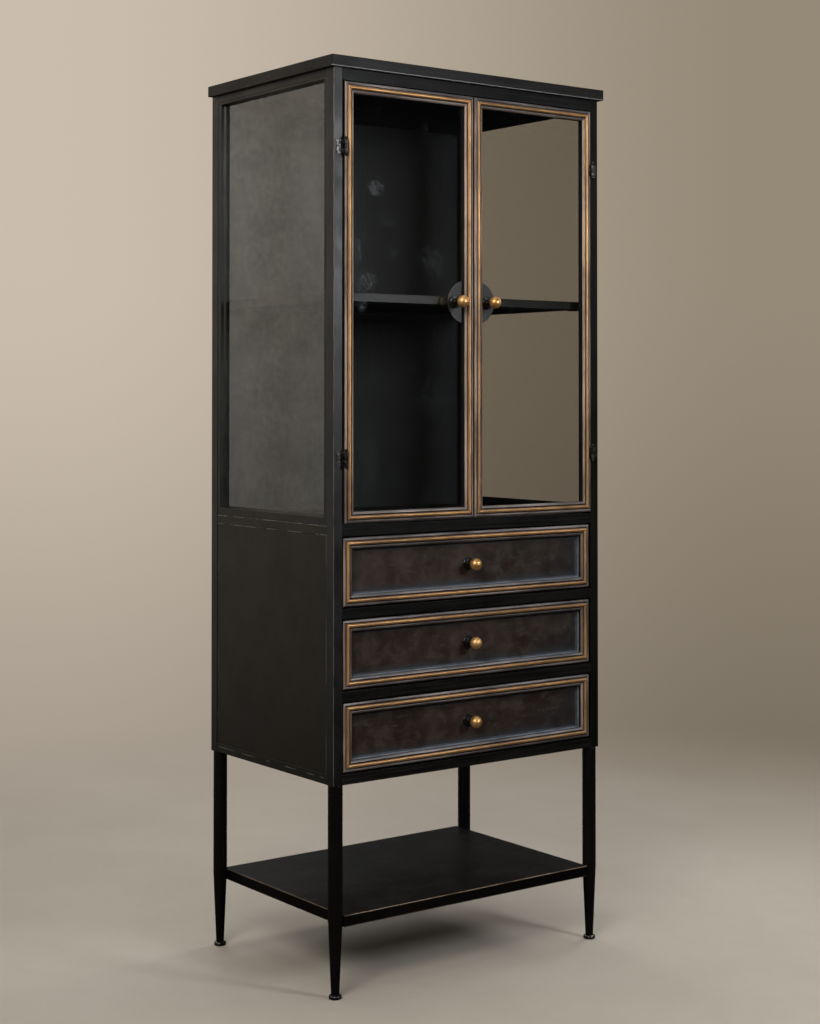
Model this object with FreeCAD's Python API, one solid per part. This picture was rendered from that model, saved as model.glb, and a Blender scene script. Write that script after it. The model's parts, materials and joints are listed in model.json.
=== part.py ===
"""Metal display cabinet: two glazed doors above three drawers, on four round legs with a
bottom shelf between them. Millimetres; X to the right, front faces -Y, Z up, origin on the
floor under the middle of the overall box, door knobs included. A door or anything else
that comes in pairs is modelled on the left and mirrored."""
import FreeCAD, Part
import math
import os
from FreeCAD import Vector as V

os.makedirs("parts", exist_ok=True)

# ------------------------------------------------------------ overall sizes
WIDTH = 680.0            # over the posts
DEPTH = 455.0            # over the posts
HEIGHT = 1800.0          # floor to the top of the board
CASE_BOTTOM = 405.5      # underside of the case
BOARD_T = 22.0           # height of the top board's folded edge
SHEET = 1.5              # general sheet thickness
POST_W = 21.0            # post, across the front
POST_D = 24.0            # post, front to back

# ------------------------------------------------------------ doors, drawers, knobs
DOOR_PROUD = 5.0         # door fronts, in front of the post faces
DRAWER_SET = 1.5         # drawer fronts, behind the post faces
DOOR_X_OUT = 316.5       # outer edge of a door, from the middle
DOOR_X_IN = 1.5          # half the gap between the doors
DOOR_Z = (904.0, 1752.0)
DOOR_GLASS_T = 3.0
DRAWER_X = 315.5         # half width of a drawer front

FRAME_D = 20.0           # depth of the moulded frames
MOULD_W = 21.5           # face width of the moulding
REBATE_S = 13.5          # inner face of the rebate, from the outer edge
DOOR_REBATE = 12.5       # rebate shoulder, behind the front of a door
DRAWER_REBATE = 8.5      # the same for a drawer front

PLATE_R = 42.5           # half-round knob plate
PLATE_X = 17.0           # centre of its arc, from the middle of the cabinet
PLATE_T = 2.0
DOOR_KNOB_X = 41.5       # knob axis, from the middle of the cabinet
DOOR_KNOB_Z = 1337.0
BALL_R = 12.2
BALL_AXIAL_R = BALL_R - 0.7    # the ball is a little flattened along its axis
BALL_OUT = 26.3          # centre of the ball, in front of its seat
BASE_R = 13.0
BASE_T = 3.0
NECK_R = 4.6
NECK_H = 15.0
STUD_R = 2.5

# ------------------------------------------------------------ main planes
KNOB_REACH = DOOR_PROUD - DOOR_REBATE + PLATE_T + BALL_OUT + BALL_AXIAL_R
Y_FRONT = -(DEPTH + KNOB_REACH) / 2 + KNOB_REACH    # front faces of the front posts
Y_BACK = Y_FRONT + DEPTH                            # back faces of the back posts
X_RIGHT = WIDTH / 2
X_LEFT = -X_RIGHT
CASE_TOP = HEIGHT - BOARD_T
POST_IN_X = X_RIGHT - POST_W                        # inner faces of the posts
SPAN_Y0, SPAN_Y1 = Y_FRONT + POST_D, Y_BACK - POST_D    # between front and back posts
DOOR_Y = Y_FRONT - DOOR_PROUD
DRAWER_Y = Y_FRONT + DRAWER_SET

# ------------------------------------------------------------ rails (z ranges)
RAIL_D = 20.0
HEAD_RAIL = (1754.5, CASE_TOP)
MID_RAIL = (879.0, 900.5)
BOTTOM_RAIL = (CASE_BOTTOM, 425.0)
SIDE_HEAD = (1763.5, CASE_TOP)
SIDE_MID = (880.5, 899.5)
FRONT_RAIL_Y0 = Y_FRONT + 1.0
FRONT_RAIL_Y1 = FRONT_RAIL_Y0 + RAIL_D
BACK_RAIL_Y1 = Y_BACK - 3.0
BACK_RAIL_Y0 = BACK_RAIL_Y1 - RAIL_D

DRAWER_H = 132.0
DRAWER_GAP = 3.0         # above and below each drawer front
DIVIDER_H = 20.0
DRAWER_PITCH = DRAWER_H + DIVIDER_H + 2 * DRAWER_GAP
DRAWER_BOTTOMS = [BOTTOM_RAIL[1] + DRAWER_GAP + k * DRAWER_PITCH for k in (2, 1, 0)]

# ------------------------------------------------------------ legs and bottom shelf
LEG_R = 14.2
LEG_TIP_R = 8.0
LEG_TAPER_TOP = 154.0
SPIGOT_R = 4.6           # stud on top of each leg, inside the post
GLIDE_R = 12.5
GLIDE_H = 8.0
TRAY_TOP = 157.0
TRAY_EDGE = 22.0
TRAY_T = 2.0
TRAY_X = X_RIGHT - 2 * LEG_R     # half width; the ends meet the legs
LEG_X = X_RIGHT - LEG_R
LEG_Y = {"front": Y_FRONT + LEG_R, "back": Y_BACK - LEG_R}
SCREW_R = 2.5
SCREW_Z = TRAY_TOP - 12.0

SIDES = ((-1, "left"), (1, "right"))


# ------------------------------------------------------------ helpers
def box(x0, y0, z0, x1, y1, z1):
    return Part.makeBox(x1 - x0, y1 - y0, z1 - z0, V(x0, y0, z0))


def cylinder(radius, length, start, direction):
    return Part.makeCylinder(radius, length, V(*start), V(*direction))


def closed(points):
    return Part.makePolygon(points + [points[0]])


def revolve(outline, centre, axis):
    """Turn a closed (radius, height) outline about an axis through centre."""
    centre, axis = V(*centre), V(*axis)
    points = [centre + V(1, 0, 0) * r + axis * h for r, h in outline]
    return Part.Face(closed(points)).revolve(centre, axis, 360)


def fuse(first, *others):
    for other in others:
        first = first.fuse(other)
    return first.removeSplitter()


def on(edge, **planes):
    """True where the whole edge lies on every given plane, such as X=10."""
    return all(abs(getattr(v, axis) - value) < 1e-6
               for v in edge.Vertexes for axis, value in planes.items())


def runs_along(edge, axis):
    start, end = edge.Vertexes[0], edge.Vertexes[1]
    return abs(getattr(start, axis) - getattr(end, axis)) > 1


def hollow_bar(axis, low, high, wall, radius):
    """Open-ended box section along an axis, with rounded outer corners."""
    bar = box(*low, *high)
    bar = bar.makeFillet(radius, [e for e in bar.Edges if runs_along(e, axis)])
    inset = [-1 if name == axis else wall for name in "XYZ"]
    return bar.cut(box(*[a + i for a, i in zip(low, inset)],
                       *[b - i for b, i in zip(high, inset)]))


def mirrored(shape):
    return shape.mirror(V(0, 0, 0), V(1, 0, 0))


def both_sides(shape):
    return [shape, mirrored(shape)]


def save(name, shapes):
    if not isinstance(shapes, list):
        shapes = [shapes]
    solids = []
    for shape in shapes:
        if shape.ShapeType != "Compound":
            shape = shape.removeSplitter()
        solids += shape.Solids
    for solid in solids:
        assert solid.isValid(), name
    result = solids[0] if len(solids) == 1 else Part.makeCompound(solids)
    result.exportStep("parts/%s.step" % name)


def save_left_right(name, shapes):
    """Save left-hand shapes and their mirror images; name holds %s for the side."""
    if not isinstance(shapes, list):
        shapes = [shapes]
    save(name % "left", shapes)
    save(name % "right", [mirrored(s) for s in shapes])


# ------------------------------------------------------------ moulded frames
# Face of the moulding, starting from the outer edge at the back. Each entry goes on from
# the last point: one point for a line, two (middle, end) for an arc. Columns: inward from
# the outer edge, back from the front.
MOULD_FACE = [
    # outer bead
    [(0.0, 2.6)], [(1.1, 1.0), (3.0, 0.0)], [(4.4, 0.0)], [(4.97, 0.23), (5.2, 0.8)],
    # groove
    [(5.2, 2.6)], [(6.6, 2.6)], [(6.6, 1.8)],
    # half-round ridge, a little proud
    [(10.6, -2.2), (14.6, 1.8)],
    # deep groove
    [(14.6, 4.0)], [(16.6, 4.0)], [(16.6, 1.0)],
    # inner bead, sloping in to the opening
    [(16.8, 0.5), (17.3, 0.3)], [(19.7, 1.5), (MOULD_W, 3.9)],
]


def moulding_section(place, rebate):
    steps = MOULD_FACE + [[(MOULD_W, rebate)], [(REBATE_S, rebate)],
                          [(REBATE_S, FRAME_D)], [(0.0, FRAME_D)]]
    start = place(0.0, FRAME_D)
    edges = []
    for step in steps:
        points = [place(*p) for p in step]
        if len(points) == 1:
            edges.append(Part.makeLine(start, points[0]))
        else:
            edges.append(Part.Arc(start, *points).toShape())
        start = points[-1]
    return Part.Face(Part.Wire(edges))


def moulded_frame(x0, x1, z0, z1, front, rebate):
    """Four mitred lengths of moulding joined into one frame."""
    reach = MOULD_W + 3.0    # the mitres run a little past the moulding
    ix0, ix1, iz0, iz1 = x0 + reach, x1 - reach, z0 + reach, z1 - reach
    up, across = V(0, 0, z1 - z0), V(x1 - x0, 0, 0)
    # placing of the section, run, mitred outline as (x, z): left, bottom, right, top
    lengths = [
        (lambda s, d: V(x0 + s, front + d, z0), up,
         [(x0, z0), (ix0, iz0), (ix0, iz1), (x0, z1)]),
        (lambda s, d: V(x0, front + d, z0 + s), across,
         [(x0, z0), (x1, z0), (ix1, iz0), (ix0, iz0)]),
        (lambda s, d: V(x1 - s, front + d, z0), up,
         [(x1, z0), (ix1, iz0), (ix1, iz1), (x1, z1)]),
        (lambda s, d: V(x0, front + d, z1 - s), across,
         [(x0, z1), (x1, z1), (ix1, iz1), (ix0, iz1)]),
    ]
    pieces = []
    for place, run, outline in lengths:
        bar = moulding_section(place, rebate).extrude(run)
        mitre = Part.Face(closed([V(x, front - 10, z) for x, z in outline]))
        pieces.append(bar.common(mitre.extrude(V(0, 40, 0))))
    return fuse(*pieces)


# ------------------------------------------------------------ posts and rails
def build_posts():
    """Save the four posts and return their full outlines, for notching sheets."""
    outlines = []
    for side, side_name in SIDES:
        x0 = X_LEFT if side < 0 else POST_IN_X
        for y0, end_name in ((Y_FRONT, "front"), (SPAN_Y1, "back")):
            low = (x0, y0, CASE_BOTTOM)
            high = (x0 + POST_W, y0 + POST_D, CASE_TOP)
            outlines.append(box(*low, *high))
            save("post_%s_%s" % (end_name, side_name),
                 hollow_bar("Z", low, high, wall=2.0, radius=1.5))
    return outlines


def cross_rails(y0, y1, heights):
    return [hollow_bar("X", (-POST_IN_X, y0, z0), (POST_IN_X, y1, z1), SHEET, 0.8)
            for z0, z1 in heights]


def side_rails():
    x0 = X_LEFT + 0.6        # slightly inside the post faces
    rails = []
    for z0, z1 in (SIDE_HEAD, SIDE_MID, BOTTOM_RAIL):
        rails += both_sides(hollow_bar("Y", (x0, SPAN_Y0, z0), (x0 + 19.0, SPAN_Y1, z1),
                                       SHEET, 0.8))
    return rails


posts = build_posts()
main_rails = (HEAD_RAIL, MID_RAIL, BOTTOM_RAIL)
dividers = [(z - DRAWER_GAP - DIVIDER_H, z - DRAWER_GAP) for z in DRAWER_BOTTOMS[:2]]
save("front_rails", cross_rails(FRONT_RAIL_Y0, FRONT_RAIL_Y1, main_rails))
save("drawer_dividers", cross_rails(FRONT_RAIL_Y0, FRONT_RAIL_Y1, dividers))
save("back_rails", cross_rails(BACK_RAIL_Y0, BACK_RAIL_Y1, main_rails))
save("side_rails", side_rails())

# ------------------------------------------------------------ back and sides
SKIN_X = X_LEFT + 1.0        # outer faces of the left glazing frame and side panel
GLAZING_X1 = X_LEFT + 12.0   # inner face of the left glazing frame
GLAZING_Z0, GLAZING_Z1 = SIDE_MID[1], SIDE_HEAD[0]


def glazing_frame():
    putty_x, putty_w = X_LEFT + 8.5, 3.5
    y0, y1 = SPAN_Y0 + 11, SPAN_Y1 - 11          # clear opening
    z0, z1 = GLAZING_Z0 + 16, GLAZING_Z1 - 6

    def opening(x, inset):
        a0, a1, b0, b1 = y0 + inset, y1 - inset, z0 + inset, z1 - inset
        return closed([V(x, a0, b0), V(x, a1, b0), V(x, a1, b1), V(x, a0, b1)])

    ring = box(SKIN_X, SPAN_Y0, GLAZING_Z0, GLAZING_X1, SPAN_Y1, GLAZING_Z1)
    ring = ring.cut(box(SKIN_X - 1, y0, z0, putty_x, y1, z1))
    # putty line: the opening narrows towards the pane
    putty = Part.makeLoft([opening(putty_x, 0.0), opening(GLAZING_X1, putty_w)], True, True)
    ring = ring.cut(putty)
    rim = [e for e in ring.Edges if on(e, X=SKIN_X)
           and all(SPAN_Y0 + 5 < v.Y < SPAN_Y1 - 5 for v in e.Vertexes)]
    return ring.makeChamfer(1.0, rim)


def side_glass():
    return box(GLAZING_X1, SPAN_Y0 + 1, GLAZING_Z0 + 1,
               GLAZING_X1 + 4.0, SPAN_Y1 - 1, GLAZING_Z1 - 1)


def side_panel():
    """Flat panel with its outer edges chamfered, for a thin joint line all round."""
    panel = box(SKIN_X, SPAN_Y0, BOTTOM_RAIL[1], SKIN_X + 4.0, SPAN_Y1, SIDE_MID[0])
    return panel.makeChamfer(0.8, [e for e in panel.Edges if on(e, X=SKIN_X)])


save("back_panel", box(-POST_IN_X, BACK_RAIL_Y1, CASE_BOTTOM + 1,
                       POST_IN_X, BACK_RAIL_Y1 + SHEET, CASE_TOP))
save_left_right("glazing_frame_%s", glazing_frame())
save_left_right("side_glass_%s", side_glass())
save_left_right("side_panel_%s", side_panel())


# ------------------------------------------------------------ top board and case sheets
def top_board():
    """Hollow folded board with a large opening in its underside."""
    x1, y0 = X_RIGHT + 10.0, Y_FRONT - 9.0       # overhangs at the sides and front
    board = box(-x1, y0, CASE_TOP, x1, Y_BACK, HEIGHT)
    board = board.makeFillet(1.5, [e for e in board.Edges
                                   if not on(e, Z=CASE_TOP) and not on(e, Y=Y_BACK)])
    hollow = box(-x1 + SHEET, y0 + SHEET, CASE_TOP + SHEET,
                 x1 - SHEET, Y_BACK - SHEET, HEIGHT - SHEET)
    under = box(-x1 + 48, y0 + 48, CASE_TOP - 1, x1 - 48, Y_BACK - 44, HEIGHT - SHEET)
    return board.cut(hollow.fuse(under))


def notched_sheet(z):
    """Horizontal sheet between the front and back rails, cut away at the posts."""
    half = X_RIGHT - 20
    sheet = box(-half, FRONT_RAIL_Y1, z, half, BACK_RAIL_Y0, z + SHEET)
    for post in posts:
        sheet = sheet.cut(post)
    return sheet


save("top_board", top_board())
save("cabinet_floor", notched_sheet(MID_RAIL[1] - 6))
save("case_bottom", notched_sheet(CASE_BOTTOM + 1))

# ------------------------------------------------------------ interior shelf
SHELF_TOP = 1348.5
SHELF_UNDER = SHELF_TOP - 16.5


def interior_shelf():
    """Sheet with turned edges on all four sides and a return along the bottom."""
    half = POST_IN_X - 2
    y0, y1 = Y_FRONT + 28.0, SPAN_Y1 - 3.0
    shelf = box(-half, y0, SHELF_UNDER, half, y1, SHELF_TOP)
    shelf = shelf.makeFillet(1.0, [e for e in shelf.Edges if not on(e, Z=SHELF_UNDER)])
    shelf = shelf.cut(box(-half + SHEET, y0 + SHEET, SHELF_UNDER + SHEET,
                          half - SHEET, y1 - SHEET, SHELF_TOP - SHEET))
    return shelf.cut(box(-POST_IN_X + 30, y0 + 60, SHELF_UNDER - 1,
                         POST_IN_X - 30, y1 - 60, SHELF_UNDER + SHEET + 1))


def shelf_brackets():
    """Slim angles against the posts, under the ends of the shelf."""
    length = 34
    outer_x = -(X_RIGHT - 17.4)
    brackets = []
    for y0 in (SPAN_Y0, SPAN_Y1 - length):
        y1 = y0 + length
        upright = box(outer_x, y0, SHELF_UNDER - 2.0,
                      -(X_RIGHT - 19.0), y1, SHELF_UNDER + 8.0)
        ledge = box(outer_x, y0, SHELF_UNDER - 2.0, -(X_RIGHT - 36), y1, SHELF_UNDER)
        brackets += both_sides(fuse(upright, ledge))
    return brackets


save("interior_shelf", interior_shelf())
save("shelf_brackets", shelf_brackets())


# ------------------------------------------------------------ bottom shelf, legs, glides
def bottom_shelf():
    """Tray with its edges turned down, drilled at the ends for the leg screws."""
    y0, y1 = Y_FRONT + 4.0, Y_BACK - 4.0
    under = TRAY_TOP - TRAY_EDGE
    tray = box(-TRAY_X, y0, under, TRAY_X, y1, TRAY_TOP)
    tray = tray.makeFillet(2.0, [e for e in tray.Edges if not on(e, Z=under)])
    tray = tray.cut(box(-TRAY_X + TRAY_T, y0 + TRAY_T, under - 1,
                        TRAY_X - TRAY_T, y1 - TRAY_T, TRAY_TOP - TRAY_T))
    for side, _ in SIDES:
        for y in LEG_Y.values():
            tray = tray.cut(cylinder(SCREW_R, 20, (side * (TRAY_X - 10), y, SCREW_Z),
                                     (side, 0, 0)))
    return tray


def leg(side, y):
    """Tapered tube with a spigot on top and a screw hole towards the shelf."""
    centre = (side * LEG_X, y, 0.0)
    bore_r, bore_top, edge = 10.8, CASE_BOTTOM - 14, 1.2
    outer = revolve([
        (0, GLIDE_H), (LEG_TIP_R, GLIDE_H), (LEG_R, LEG_TAPER_TOP),
        (LEG_R, CASE_BOTTOM - edge), (LEG_R - edge, CASE_BOTTOM), (SPIGOT_R, CASE_BOTTOM),
        (SPIGOT_R, CASE_BOTTOM + 30), (SPIGOT_R - 0.6, CASE_BOTTOM + 31),
        (0, CASE_BOTTOM + 31)], centre, (0, 0, 1))
    inner = revolve([
        (0, GLIDE_H - 1), (5.0, GLIDE_H - 1), (5.0, 34), (5.6, 34),
        (bore_r, LEG_TAPER_TOP), (bore_r, bore_top), (0, bore_top)], centre, (0, 0, 1))
    return outer.cut(inner).cut(
        cylinder(SCREW_R, 12, (side * (TRAY_X - 1), y, SCREW_Z), (side, 0, 0)))


def foot_glide(side, y):
    """Turned glide: domed pad and a plug stem."""
    return revolve([
        (0, 0), (GLIDE_R - 2.0, 0), (GLIDE_R - 0.6, 0.6), (GLIDE_R, 2.0), (GLIDE_R, 5.2),
        (GLIDE_R - 0.8, 6.6), (GLIDE_R - 3.0, 7.6), (LEG_TIP_R - 1.5, GLIDE_H),
        (5.0, GLIDE_H), (5.0, 32), (4.0, 33), (0, 33)],
        (side * LEG_X, y, 0.0), (0, 0, 1))


def shelf_screw(side, y):
    """Slotted screw from inside the tray into the leg."""
    seat = TRAY_X - TRAY_T
    head_t = 2.6
    head_x = side * (seat - head_t)
    screw = fuse(cylinder(SCREW_R, 8.0, (side * seat, y, SCREW_Z), (side, 0, 0)),
                 cylinder(4.5, head_t, (head_x, y, SCREW_Z), (side, 0, 0)))
    return screw.cut(box(head_x - 1.0, y - 0.5, SCREW_Z - 3.4,
                         head_x + 1.0, y + 0.5, SCREW_Z + 3.4))


save("bottom_shelf", bottom_shelf())
leg_places = []
for side, side_name in SIDES:
    for end_name, leg_y in LEG_Y.items():
        leg_places.append((side, leg_y))
        save("leg_%s_%s" % (end_name, side_name), leg(side, leg_y))
save("foot_glides", [foot_glide(*place) for place in leg_places])
save("bottom_shelf_screws", [shelf_screw(*place) for place in leg_places])

# ------------------------------------------------------------ hinges
HINGE_X = -317.0                 # axis of the left door
HINGE_Y = Y_FRONT - 8.7
HINGE_HEIGHTS = (1028.0, 1626.0)
KNUCKLE_R = 3.5
KNUCKLE_END = 7.5                # length of each end knuckle
KNUCKLE_MID = 9.0                # length of the middle knuckle
HINGE_HALF = KNUCKLE_MID / 2 + 0.2 + KNUCKLE_END    # with a gap between knuckles
PIN_R = 1.8
PIN_CLEAR = 0.05


def hinge_bore(z, radius):
    return cylinder(radius, 60, (HINGE_X, HINGE_Y, z - 30), (0, 0, 1))


def hinge_knuckle(z0, length):
    return cylinder(KNUCKLE_R, length, (HINGE_X, HINGE_Y, z0), (0, 0, 1))


def post_leaf(z):
    """Leaf on the post face, joined by webs to the two end knuckles."""
    z0, z1 = z - HINGE_HALF, z + HINGE_HALF
    outer_x, inner_x, face_y = HINGE_X - 17.0, HINGE_X - 2.2, Y_FRONT - 1.3
    leaf = box(outer_x, face_y, z0 - 1.5, inner_x, Y_FRONT, z1 + 1.5)
    leaf = leaf.makeFillet(2.5, [e for e in leaf.Edges
                                 if on(e, X=outer_x) and runs_along(e, "Y")])
    pieces = [leaf]
    for low in (z0, z1 - KNUCKLE_END):
        pieces.append(hinge_knuckle(low, KNUCKLE_END))
        pieces.append(box(HINGE_X - 3.5, HINGE_Y, low, inner_x, Y_FRONT, low + KNUCKLE_END))
    for screw_z in (z - 7.0, z + 7.0):
        x = HINGE_X - 10.5
        rim = cylinder(2.6, 0.5, (x, face_y, screw_z), (0, -1, 0))
        pieces.append(rim.fuse(revolve([(0, 0), (2.2, 0), (1.9, 0.5), (1.2, 0.85), (0, 1.0)],
                                       (x, face_y - 0.4, screw_z), (0, -1, 0))))
    return fuse(*pieces).cut(hinge_bore(z, PIN_R))


def door_leaf(z):
    """Narrow leaf on the outer bead of the door, with the middle knuckle."""
    z0, z1 = z - KNUCKLE_MID / 2, z + KNUCKLE_MID / 2
    face_y = DOOR_Y - 1.2
    leaf = box(HINGE_X + 2.9, face_y, z - HINGE_HALF, HINGE_X + 6.0, DOOR_Y, z + HINGE_HALF)
    web = box(HINGE_X + 0.4, face_y, z0, HINGE_X + 3.4, DOOR_Y - 0.2, z1)
    return fuse(leaf, hinge_knuckle(z0, KNUCKLE_MID), web).cut(
        hinge_bore(z, PIN_R + PIN_CLEAR))


def hinge_pin(z):
    """Pin with a collar and a ball finial at each end."""
    z0, z1 = z - HINGE_HALF, z + HINGE_HALF
    collar_r, collar_t, ball_r, ball_out = 2.4, 1.2, 3.2, 3.7

    def rod(radius, low, length):
        return cylinder(radius, length, (HINGE_X, HINGE_Y, low), (0, 0, 1))

    return fuse(rod(PIN_R, z0 - 1.0, z1 - z0 + 2.0),
                rod(collar_r, z1, collar_t),
                rod(collar_r, z0 - collar_t, collar_t),
                Part.makeSphere(ball_r, V(HINGE_X, HINGE_Y, z1 + ball_out)),
                Part.makeSphere(ball_r, V(HINGE_X, HINGE_Y, z0 - ball_out)))


save("hinge_post_leaves", [s for z in HINGE_HEIGHTS for s in both_sides(post_leaf(z))])
save("hinge_pins", [s for z in HINGE_HEIGHTS for s in both_sides(hinge_pin(z))])
save_left_right("door_%s_hinge_knuckles", [door_leaf(z) for z in HINGE_HEIGHTS])


# ------------------------------------------------------------ knobs
def knob_base(x, y, z):
    """Round base and neck, seated on the plane y and standing towards -Y."""
    outline = [
        (STUD_R, 0), (BASE_R, 0), (BASE_R, BASE_T - 1.0), (BASE_R - 1.0, BASE_T),
        (7.0, BASE_T + 0.6), (NECK_R + 0.6, BASE_T + 2.0), (NECK_R, BASE_T + 4.0),
        (NECK_R - 0.4, NECK_H - 3.0), (NECK_R + 0.6, NECK_H - 1.0),
        (NECK_R + 0.6, NECK_H), (STUD_R, NECK_H)]
    return revolve(outline, (x, y, z), (0, -1, 0))


def knob_ball(x, y, z, tail):
    """Ball with a stud that runs back behind the seat by tail."""
    steps = 28
    shank_r = 4.4
    start = math.asin(shank_r / BALL_R)
    outline = [(0, -tail), (STUD_R, -tail), (STUD_R, NECK_H), (shank_r, NECK_H),
               (shank_r, BALL_OUT - BALL_AXIAL_R * math.cos(start))]
    for i in range(1, steps):
        angle = start + (math.pi - start) * i / steps
        outline.append((BALL_R * math.sin(angle), BALL_OUT - BALL_AXIAL_R * math.cos(angle)))
    outline.append((0, BALL_OUT + BALL_AXIAL_R))
    return revolve(outline, (x, y, z), (0, -1, 0))


# ------------------------------------------------------------ doors
DOOR_X0, DOOR_X1 = -DOOR_X_OUT, -DOOR_X_IN       # left door
PANE_Y = DOOR_Y + DOOR_REBATE                    # front of the pane
BEAD_Y = PANE_Y + DOOR_GLASS_T                   # back of the pane
PLATE_Y = PANE_Y - PLATE_T                       # front of the knob plate


def door_stud_hole():
    return cylinder(STUD_R, 30, (-DOOR_KNOB_X, DOOR_Y, DOOR_KNOB_Z), (0, 1, 0))


def door_glass():
    inset = REBATE_S + 1.0
    pane = box(DOOR_X0 + inset, PANE_Y, DOOR_Z[0] + inset,
               DOOR_X1 - inset, BEAD_Y, DOOR_Z[1] - inset)
    return pane.cut(door_stud_hole())


def glass_beads():
    """Four strips behind the pane, chamfered along the back inner edge."""
    width = 6.0
    back = BEAD_Y + FRAME_D - DOOR_REBATE - DOOR_GLASS_T
    x0, x1 = DOOR_X0 + REBATE_S, DOOR_X1 - REBATE_S
    z0, z1 = DOOR_Z[0] + REBATE_S, DOOR_Z[1] - REBATE_S
    ix0, ix1, iz0, iz1 = x0 + width, x1 - width, z0 + width, z1 - width
    beads = []
    # x and z from and to, plane of the inner face
    for a0, b0, a1, b1, inner in ((x0, z0, ix0, z1, {"X": ix0}),
                                  (ix1, z0, x1, z1, {"X": ix1}),
                                  (ix0, z0, ix1, iz0, {"Z": iz0}),
                                  (ix0, iz1, ix1, z1, {"Z": iz1})):
        bead = box(a0, BEAD_Y, b0, a1, back, b1)
        beads.append(bead.makeChamfer(2.0, [e for e in bead.Edges if on(e, Y=back, **inner)]))
    return beads


def knob_plate():
    """Half-round plate on the pane, beside the inner edge of the moulding."""
    flat_x = -(DOOR_X_IN + MOULD_W + 0.3)
    plate = cylinder(PLATE_R, PLATE_T, (-PLATE_X, PLATE_Y, DOOR_KNOB_Z), (0, 1, 0))
    plate = plate.common(box(-PLATE_X - 60, DOOR_Y - 20, DOOR_KNOB_Z - 60,
                             flat_x, DOOR_Y + 30, DOOR_KNOB_Z + 60))
    plate = plate.makeChamfer(0.5, [e for e in plate.Edges if on(e, Y=PLATE_Y)])
    return plate.cut(door_stud_hole())


def knob_nut():
    """Washer and hexagonal nut behind the pane."""
    washer_t, corner_r = 0.8, 5.0
    washer = cylinder(7.5, washer_t, (-DOOR_KNOB_X, BEAD_Y, DOOR_KNOB_Z), (0, 1, 0))
    angles = [math.radians(60 * k) for k in range(6)]
    hexagon = closed([V(-DOOR_KNOB_X + corner_r * math.cos(a), BEAD_Y + washer_t,
                        DOOR_KNOB_Z + corner_r * math.sin(a)) for a in angles])
    nut = fuse(washer, Part.Face(hexagon).extrude(V(0, 2.4, 0)))
    return nut.cut(door_stud_hole())


def door_catch():
    """Block behind the head rail, with a pad reaching forward below the rail."""
    body = box(8, FRONT_RAIL_Y1, 1738, 34, FRONT_RAIL_Y1 + 12, 1774)
    body = body.makeFillet(1.0, [e for e in body.Edges if runs_along(e, "Y")])
    return fuse(body, box(11, DOOR_Y + FRAME_D + 0.3, 1740, 31, FRONT_RAIL_Y1, 1751))


save_left_right("door_%s_frame", moulded_frame(DOOR_X0, DOOR_X1, *DOOR_Z, DOOR_Y, DOOR_REBATE))
save_left_right("door_%s_glass", door_glass())
save_left_right("door_%s_glass_beads", glass_beads())
save_left_right("door_%s_knob_plate", knob_plate())
save_left_right("door_%s_knob_base", knob_base(-DOOR_KNOB_X, PLATE_Y, DOOR_KNOB_Z))
save_left_right("door_%s_knob", knob_ball(-DOOR_KNOB_X, PLATE_Y, DOOR_KNOB_Z,
                                          tail=PLATE_T + DOOR_GLASS_T + 4.0))
save_left_right("door_%s_knob_nut", knob_nut())
save("door_catches", both_sides(door_catch()))

# ------------------------------------------------------------ drawers
FIELD_SLOPE = 4.5                # width of the sloped border of a drawer panel
FIELD_DROP = 7.0                 # and its depth
BOX_X = 300.0                    # half width of a drawer box
BOX_LENGTH = 392.0
BOX_RISE = 12.0                  # bottom of the box, above the drawer front's lower edge
BOX_H = 100.0
PANEL_Y = DRAWER_Y + DRAWER_REBATE
DRAWER_BACK = DRAWER_Y + FRAME_D         # back of the front frame
KNOB_SEAT_Y = PANEL_Y + FIELD_DROP


def drawer_stud_hole(z):
    return cylinder(STUD_R, 40, (0, Y_FRONT - 10, z), (0, 1, 0))


def drawer_panel(bottom):
    """Pressed shallow pan: border on the rebate shoulder, field set back."""
    inset = REBATE_S + 0.5
    half, z0, z1 = DRAWER_X - inset, bottom + inset, bottom + DRAWER_H - inset
    border = MOULD_W - inset
    field = border + FIELD_SLOPE

    def loop(margin, y):
        x, low, high = half - margin, z0 + margin, z1 - margin
        return closed([V(-x, y, low), V(x, y, low), V(x, y, high), V(-x, y, high)])

    pan = box(-half, PANEL_Y, z0, half, DRAWER_BACK, z1)
    pan = pan.cut(box(-half + SHEET, PANEL_Y + SHEET, z0 + SHEET,
                      half - SHEET, DRAWER_BACK + 1, z1 - SHEET))
    pocket = Part.makeLoft([loop(border, PANEL_Y), loop(field, KNOB_SEAT_Y)], True, True)
    boss = Part.makeLoft([loop(border - SHEET, PANEL_Y + 0.2),
                          loop(field - SHEET, KNOB_SEAT_Y + SHEET)], True, True)
    return pan.fuse(boss).cut(pocket).cut(drawer_stud_hole(bottom + DRAWER_H / 2))


def drawer_box(bottom):
    """Open folded tray behind the front."""
    y1 = DRAWER_BACK + BOX_LENGTH
    z0 = bottom + BOX_RISE
    z1 = z0 + BOX_H
    tray = box(-BOX_X, DRAWER_BACK, z0, BOX_X, y1, z1)
    tray = tray.cut(box(-BOX_X + SHEET, DRAWER_BACK + SHEET, z0 + SHEET,
                        BOX_X - SHEET, y1 - SHEET, z1 + 1))
    return tray.cut(drawer_stud_hole(bottom + DRAWER_H / 2))


def drawer_runner(bottom):
    """Ledge under the left side of the box, with an upright guide edge."""
    box_z = bottom + BOX_RISE
    top = box_z - 0.3
    ledge = box(-(X_RIGHT - 10), SPAN_Y0, top - 2.0, -(BOX_X - 12), SPAN_Y1, top)
    guide = box(-(BOX_X + 3.5), SPAN_Y0, top, -(BOX_X + 1.5), SPAN_Y1, box_z + 26)
    return fuse(ledge, guide)


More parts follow.
